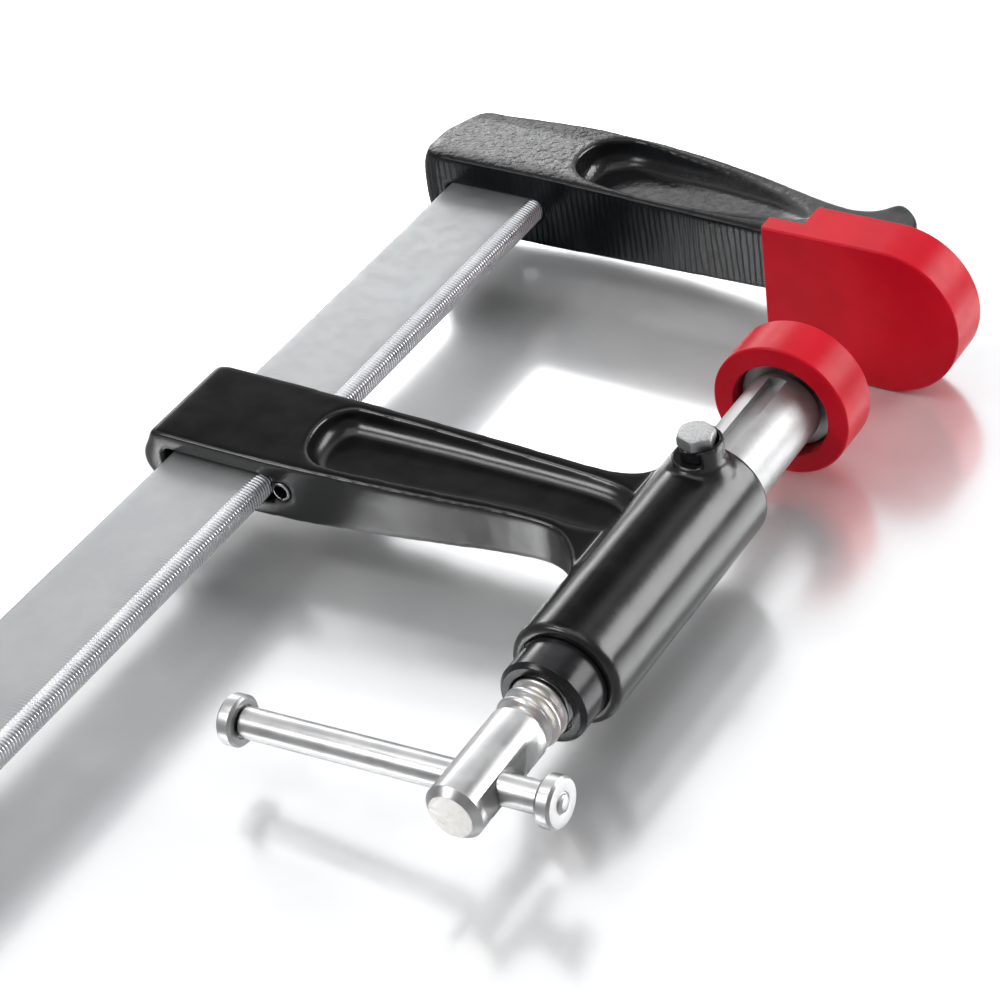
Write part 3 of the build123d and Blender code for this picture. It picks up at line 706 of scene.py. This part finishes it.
def build_rail():
    w, t = 35.0, 8.0
    h = t / 2
    zone = 4.5
    nose_z = 1.0
    # right edge of the section from the top line to the bottom line
    edge = []
    n = 9
    for i in range(n + 1):
        a = math.pi / 2 * i / n
        s = 0.82
        edge.append((-zone + zone * math.sin(a) ** (2 * s / 1.64), nose_z + (h - nose_z) * math.cos(a) ** s))
    half = edge + [(0.0, 0.0)]
    rim = half + [(x, -z) for x, z in reversed(edge)]
    # weight of the serration along the rim
    wt_r = []
    for x, z in rim:
        wt_r.append(min(1.0, max(0.0, (x + zone) / 0.5)))
    top = [(-w + zone + (w - 2 * zone) * k / 6, h) for k in range(0, 6)]
    rl = 2.0
    arc = [math.pi / 2 * i / 6 for i in range(7)]
    left = [(-w + rl - rl * math.sin(a), -h + rl - rl * math.cos(a)) for a in arc]
    left += [(x, -z) for x, z in reversed(left)]
    section = []
    weight = []
    # go round: right rim from top to bottom, bottom line, left rim from bottom to top, top line
    for (x, z), q in zip(rim, wt_r):
        section.append((x, z)); weight.append(q)
    for x, z in reversed(top):
        section.append((x, -h)); weight.append(0.0)
    for x, z in left:
        section.append((x, z)); weight.append(0.0)
    for x, z in top:
        section.append((x, h)); weight.append(0.0)
    section = np.array(section)
    weight = np.array(weight)
    m = len(section)
    # outward direction of each section point
    d = np.roll(section, -1, 0) - np.roll(section, 1, 0)
    nrm = np.stack([-d[:, 1], d[:, 0]], 1)
    nrm /= np.linalg.norm(nrm, axis=1)[:, None]
    centre = np.array([-w / 2, 0])
    flip = np.sign(((section - centre) * nrm).sum(1))
    nrm *= flip[:, None]
    y0, y1 = -396.0, 27.9
    pitch = 1.16
    ys, depth = [y0], [0.9]
    ys.append(y0 + 0.5); depth.append(0.0)
    k = 0
    y = y0 + 0.8
    while y + pitch < y1 - 0.3:
        for f, dd in ((0.0, 1.0), (0.30, 0.12), (0.52, 0.0), (0.74, 0.12)):
            ys.append(y + f * pitch); depth.append(dd)
        y += pitch
        k += 1
    ys.append(y1); depth.append(0.0)
    verts = np.zeros((len(ys), m, 3))
    jit = np.random.RandomState(3).uniform(0.96, 1.03, len(ys))
    for i, (yy, dd) in enumerate(zip(ys, depth)):
        cut = 0.40 * dd * jit[i] * weight
        if i == 0:
            cut = 0.5 * np.ones(m)
        p = section - nrm * cut[:, None]
        verts[i, :, 0] = p[:, 0]
        verts[i, :, 1] = yy
        verts[i, :, 2] = p[:, 1]
    v = verts.reshape(-1, 3)
    faces = []
    for i in range(len(ys) - 1):
        for j in range(m):
            a, b = i * m + j, i * m + (j + 1) % m
            faces.append((a, b, b + m, a + m))
    faces.append(tuple(range(m)))
    faces.append(tuple(range((len(ys) - 1) * m, len(ys) * m)))
    ob = make_object("rail_bar", v, faces, sharp=50)
    dress(ob, "rail", "edge")
    for p in ob.data.polygons:
        x = sum(ob.data.vertices[i].co.x for i in p.vertices) / len(p.vertices) - OX
        p.material_index = 1 if x > -0.00445 and len(p.vertices) <= 4 else 0
    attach(ob, "frame")
    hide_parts("rail")
    return ob


# --- cast arms ------------------------------------------------------------------

def build_fixed_arm():
    ob = remeshed("fixed_arm", "arm_fixed_cast", 0.00065)
    me = ob.data
    smooth_mesh(me, 10, 0.5)
    p = (mesh_arrays(me) - ORG) * 1000.0
    smooth_mesh(me, 36, 0.5, weight=1 - step01(p[:, 0], -43.0, -38.5))
    fill_end(me, [0.3, 1.2, 2.4, 4.0, 6.5, 9.0, 12.0, 16.0, 22.0], [-43.6, -45.6, -46.7, -47.2, -47.3, -47.3, -47.2, -46.2, -43.9], -28.0, 13.6)
    co = mesh_arrays(me)
    no = normals_of(me)
    p = (co - ORG) * 1000.0
    painted = 1 - step01(-no[:, 1], 0.5, 0.8)
    near = 1 - 0.72 * step01(p[:, 0], 2.0, 24.0)
    lump = lattice_noise(p / 1.9, 11) * 0.5 + lattice_noise(p / 1.15 + 40, 12) * 0.5
    wide = lattice_noise(p / 9.0 + 9, 13)
    d = 0.07 * lump * near * painted + 0.05 * wide * painted
    inside = (np.abs(p[:, 2]) < 5.0) & (p[:, 0] < 1.0)
    d[inside] = 0
    d = np.minimum(d, 0.10) - 0.05
    d[inside] = 0
    co += no * (d * 0.001)[:, None]
    set_arrays(me, co)
    dress(ob, "cast")
    me.shade_smooth()
    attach(ob, "frame")
    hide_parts("fixed_arm")
    return ob


def build_sliding_arm():
    ob = remeshed("sliding_arm", "arm_sliding_cast", 0.0006)
    me = ob.data
    p = (mesh_arrays(me) - ORG) * 1000.0
    off = np.hypot(p[:, 0] - THROAT, p[:, 1] + 119.0)
    crisp = (1 - step01(off, 8.5, 12.0)) * step01(p[:, 2], 15.5, 18.5)
    rim = np.hypot(p[:, 0] - THROAT, p[:, 2])
    far = step01(p[:, 1], -114.0, -111.6) * step01(rim, 11.0, 12.5)
    crisp = np.maximum(crisp, far)
    smooth_mesh(me, 12, 0.5, weight=1 - 0.86 * crisp)
    smooth_mesh(me, 36, 0.5, weight=1 - step01(p[:, 0], -43.5, -39.0))
    fill_end(me, [-159.6, -158.0, -156.0, -150.0, -140.0, -130.0, -126.0], [-44.6, -45.7, -46.3, -46.4, -46.4, -46.3, -45.2], -30.0, 10.5)
    co = mesh_arrays(me)
    p = (co - ORG) * 1000.0
    dx, dy = p[:, 0] - THROAT, p[:, 1] + 119.0
    off = np.hypot(dx, dy)
    tight = (off < 6.4) & (off > 4.6) & (p[:, 2] > 18.9)
    co[tight, 0] += dx[tight] * (6.4 / off[tight] - 1) * 0.001
    co[tight, 1] += dy[tight] * (6.4 / off[tight] - 1) * 0.001
    # smoothing pulls the bore inwards: put its wall back, clear of the pusher
    wall = 12.02
    rad = np.hypot(p[:, 0] - THROAT, p[:, 2])
    tight = (rad < wall) & (rad > 6.0) & (p[:, 1] > -184.0)
    co[tight, 0] += (p[tight, 0] - THROAT) * (wall / rad[tight] - 1) * 0.001
    co[tight, 2] += p[tight, 2] * (wall / rad[tight] - 1) * 0.001
    set_arrays(me, co)
    no = normals_of(me)
    p = (co - ORG) * 1000.0
    rad = np.hypot(p[:, 0] - THROAT, p[:, 2])
    hub = step01(rad, 15.0, 16.2) * (1 - step01(rad, 17.2, 18.5))
    wide = lattice_noise(p / 11.0, 21) * 0.65 + lattice_noise(p / 4.5, 22) * 0.35
    inside = (np.abs(p[:, 2]) < 5.2) & (p[:, 0] < 2.0)
    bore = rad < 13.4
    d = 0.05 * wide - 0.03
    d[inside | bore] = 0
    co += no * (d * 0.001)[:, None]
    set_arrays(me, co)
    dress(ob, "paint")
    me.shade_smooth()
    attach(ob, "sliding_arm")
    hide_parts("sliding_arm")
    return ob


# --- screw ----------------------------------------------------------------------

def build_screw():
    root, top, pitch = 7.0, 8.97, 4.0
    y0, y1 = -221.4, -141.5
    # one pitch of the thread, as (fraction of the pitch, radius)
    form = [(0.00, root), (0.06, root + 0.12), (0.13, root + 0.75), (0.19, top - 0.35), (0.24, top - 0.08), (0.31, top),
            (0.42, top), (0.49, top - 0.08), (0.54, top - 0.35), (0.60, root + 0.75), (0.67, root + 0.12), (0.73, root),
            (0.86, root)]
    seg, turns = 96, int((y1 - y0) / pitch) + 2
    nf = len(form)
    rows = nf * turns
    verts = np.zeros((seg + 1, rows, 3))
    ramp_in = 2.6
    for i in range(seg + 1):
        t = 2 * math.pi * i / seg
        for k in range(rows):
            f, r = form[k % nf]
            y = y0 - pitch + (k // nf + f) * pitch + pitch * i / seg
            fade = min(1.0, max(0.0, (y - y0) / ramp_in)) * min(1.0, max(0.0, (y1 - y) / ramp_in))
            yy = min(max(y, y0), y1)
            rr = root + (r - root) * fade
            verts[i, k] = (THROAT + rr * math.cos(t), yy, rr * math.sin(t))
    v = verts.reshape(-1, 3)
    faces = []
    for i in range(seg):
        for k in range(rows - 1):
            a = i * rows + k
            faces.append((a, a + 1, a + rows + 1, a + rows))
    thread = (v.tolist(), faces)
    # plain head with a bevelled end, and the journal at the far end
    rh = 8.5
    head = lathe([(0, -256.5), (rh - 2.0, -256.5, 0.25), (rh, -254.5, 0.3), (rh, -222.3, 0.5), (root - 0.1, -221.2)], seg=128)
    rj = 7.0
    tail = lathe([(root - 0.1, -141.7), (rj, -141.5), (rj, -134.2), (rj - 2.2, -134.2, 0.2), (rj - 2.2, -129.8, 0.2), (rj, -129.8),
                  (rj, -124.0), (rj - 1, -123.0), (0, -123.0)], seg=64)
    ob = make_object("screw_thread", *thread, sharp=40)
    hb = make_object("screw_head", *head, sharp=40)
    tb = make_object("screw_tail", *tail, sharp=40)
    # cross hole for the bar
    tilt = math.radians(4.3)
    bar = lathe([(0, -20), (4.62, -20), (4.62, 20), (0, 20)], seg=96, steps=1, x=0, z=0, axis="y")
    mtx = Matrix.Translation(Vector((THROAT, -242.5, 0))) @ Matrix.Rotation(-tilt, 4, "Y") @ Matrix.Rotation(math.radians(-90), 4, "Z")
    cut = make_object("cut_tool", turn(bar[0], mtx), bar[1], sharp=0)
    mod = hb.modifiers.new("hole", "BOOLEAN")
    mod.operation = "DIFFERENCE"
    mod.object = cut
    mod.solver = "EXACT"
    bpy.context.view_layer.update()
    dg = bpy.context.evaluated_depsgraph_get()
    new = bpy.data.meshes.new_from_object(hb.evaluated_get(dg))
    hb.modifiers.clear()
    hb.data = new
    bpy.data.objects.remove(cut)
    new.shade_smooth()
    new.set_sharp_from_angle(angle=math.radians(32))
    dress(ob, "thread")
    dress(hb, "head", "sawn")
    for q in hb.data.polygons:
        c = q.center
        q.material_index = 1 if q.normal.y < -0.95 and (c.y - OY) * 1000 < -256.3 else 0
    dress(tb, "zinc")
    for o in (ob, hb, tb):
        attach(o, "spindle")
    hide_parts("spindle")
    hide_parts("spindle")
    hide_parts("spindle")
    return ob


def build_bushing():
    prof = [(9.02, -210.5), (12.15, -210.5, 0.3), (13.15, -209.5, 0.5), (13.15, -199.6, 0.35), (12.6, -198.5), (12.4, -198.4),
            (12.4, -181.0), (9.02, -181.0), (9.02, -210.5)]
    prof = [(9.02, -181.0), (9.02, -209.6, 0.3), (9.7, -210.5, 0.25), (12.0, -210.5, 0.5), (13.15, -209.2, 0.7), (13.15, -198.5), (12.35, -198.4),
            (12.35, -181.0), (9.02, -181.0)]
    ob = make_object("bushing_turned", *lathe(prof, seg=128), sharp=40)
    dress(ob, "oxide")
    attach(ob, "sliding_arm")
    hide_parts("spindle_bushing")
    return ob


def build_bar():
    tilt = math.radians(4.3)
    mtx = Matrix.Translation(Vector((THROAT, -242.5, 0))) @ Matrix.Rotation(-tilt, 4, "Y") @ Matrix.Rotation(math.radians(-90), 4, "Z")
    # the profile runs along the bar; station 0 is the screw's axis
    rod = lathe([(2.45, -74.1), (3.7, -74.0, 0.2), (4.45, -73.3, 0.3), (4.45, 19.6, 0.3), (3.7, 20.3, 0.2), (2.45, 20.4)], seg=96, x=0, z=0)
    ob = make_object("bar_rod", turn(rod[0], mtx), rod[1], sharp=38)
    dress(ob, "bar")
    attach(ob, "tommy_bar")
    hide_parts("tommy_bar")
    for side, base, name, node in ((-1, -74.0, "bar_collar_left", "tommy_bar_cap_left"), (1, 20.3, "bar_collar_right", "tommy_bar_cap_right")):
        lo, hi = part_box(node)
        prof = [(2.45, 0.55), (4.55, 0.55, 0.15), (4.75, 0.0, 0.15), (6.5, 0.0, 0.2), (7.25, 0.85, 0.25), (7.25, 4.0, 0.25), (6.5, 4.8, 0.2),
                (3.2, 4.8, 0.1), (3.0, 4.55, 0.1), (2.75, 4.6, 0.1), (2.5, 5.15, 0.3), (1.6, 5.55, 0.6), (0.0, 5.7)]
        shape = lathe([(q[0], base + side * q[1], *(q[2:])) for q in prof], seg=96, x=0, z=0)
        cb = make_object(name, turn(shape[0], mtx), shape[1], sharp=34)
        dress(cb, "bar")
        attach(cb, "tommy_bar")
        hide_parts(node)
    return ob


def hexagon(af, z_levels, x, y, turn_deg, seg_side=8):
    """Hexagonal prism whose corners are cut by a cone: list of (z, cone radius or None)."""
    r_in = af / 2
    verts, faces, rings = [], [], []
    n = seg_side * 6
    for z, cap in z_levels:
        ring = []
        for i in range(n):
            t = 2 * math.pi * i / n
            loc = (t + math.pi / 6) % (math.pi / 3) - math.pi / 6
            r = r_in / math.cos(loc)
            if cap is not None:
                r = min(r, cap)
            a = t + math.radians(turn_deg)
            ring.append(len(verts))
            verts.append((x + r * math.cos(a), y + r * math.sin(a), z))
        rings.append(ring)
    for a, b in zip(rings, rings[1:]):
        faces += [(a[i], a[(i + 1) % n], b[(i + 1) % n], b[i]) for i in range(n)]
    faces.append(tuple(reversed(rings[0])))
    faces.append(tuple(rings[-1]))
    return verts, faces


def build_bolt():
    y = -119.0
    af = 9.96
    head = hexagon(af, [(22.45, 5.0), (22.7, 5.45), (22.95, None), (25.2, None), (25.7, 5.62), (26.1, 5.25), (26.38, 4.75), (26.48, 4.2), (26.50, 3.0)],
                   THROAT, y, 12.0)
    ob = make_object("bolt_head", *head, sharp=28)
    dress(ob, "zinc", "bolt")
    for q in ob.data.polygons:
        q.material_index = 1 if q.normal.z > 0.5 else 0
    shank = lathe([(0, 9.0), (2.4, 9.0), (2.98, 9.6), (2.98, 22.5), (0, 22.5)], seg=48, x=THROAT, z=y, axis="z")
    sb = make_object("bolt_shank", *shank, sharp=40)
    dress(sb, "zinc")
    nut = hexagon(9.96, [(18.45, 4.6), (18.8, 5.3), (19.1, None), (21.6, None), (22.0, 5.3), (22.38, 4.6)], THROAT, y, 33.0)
    nb = make_object("lock_nut", *nut, sharp=28)
    dress(nb, "oxide")
    for o in (ob, sb, nb):
        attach(o, "sliding_arm")
    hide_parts("guide_bolt")
    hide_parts("guide_bolt")
    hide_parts("guide_lock_nut")


build_rail()
build_fixed_arm()
build_sliding_arm()
build_screw()
build_bushing()
build_bar()
build_bolt()

KEEP = {
    "fixed_arm_pin": "steel", "fixed_jaw_cap": "red", "rail_stop_pin": "steel", "rail_grip_pin": "steel",
    "pusher": "zinc", "spindle_retaining_pins": "steel", "thrust_ball": "steel", "pressure_plate": "zinc",
    "plate_retaining_ring": "steel", "pusher_cap": "red",
}
for name, slot in KEEP.items():
    ob = nodes[name]
    for i in range(len(ob.material_slots)):
        ob.material_slots[i].material = MAT[slot]
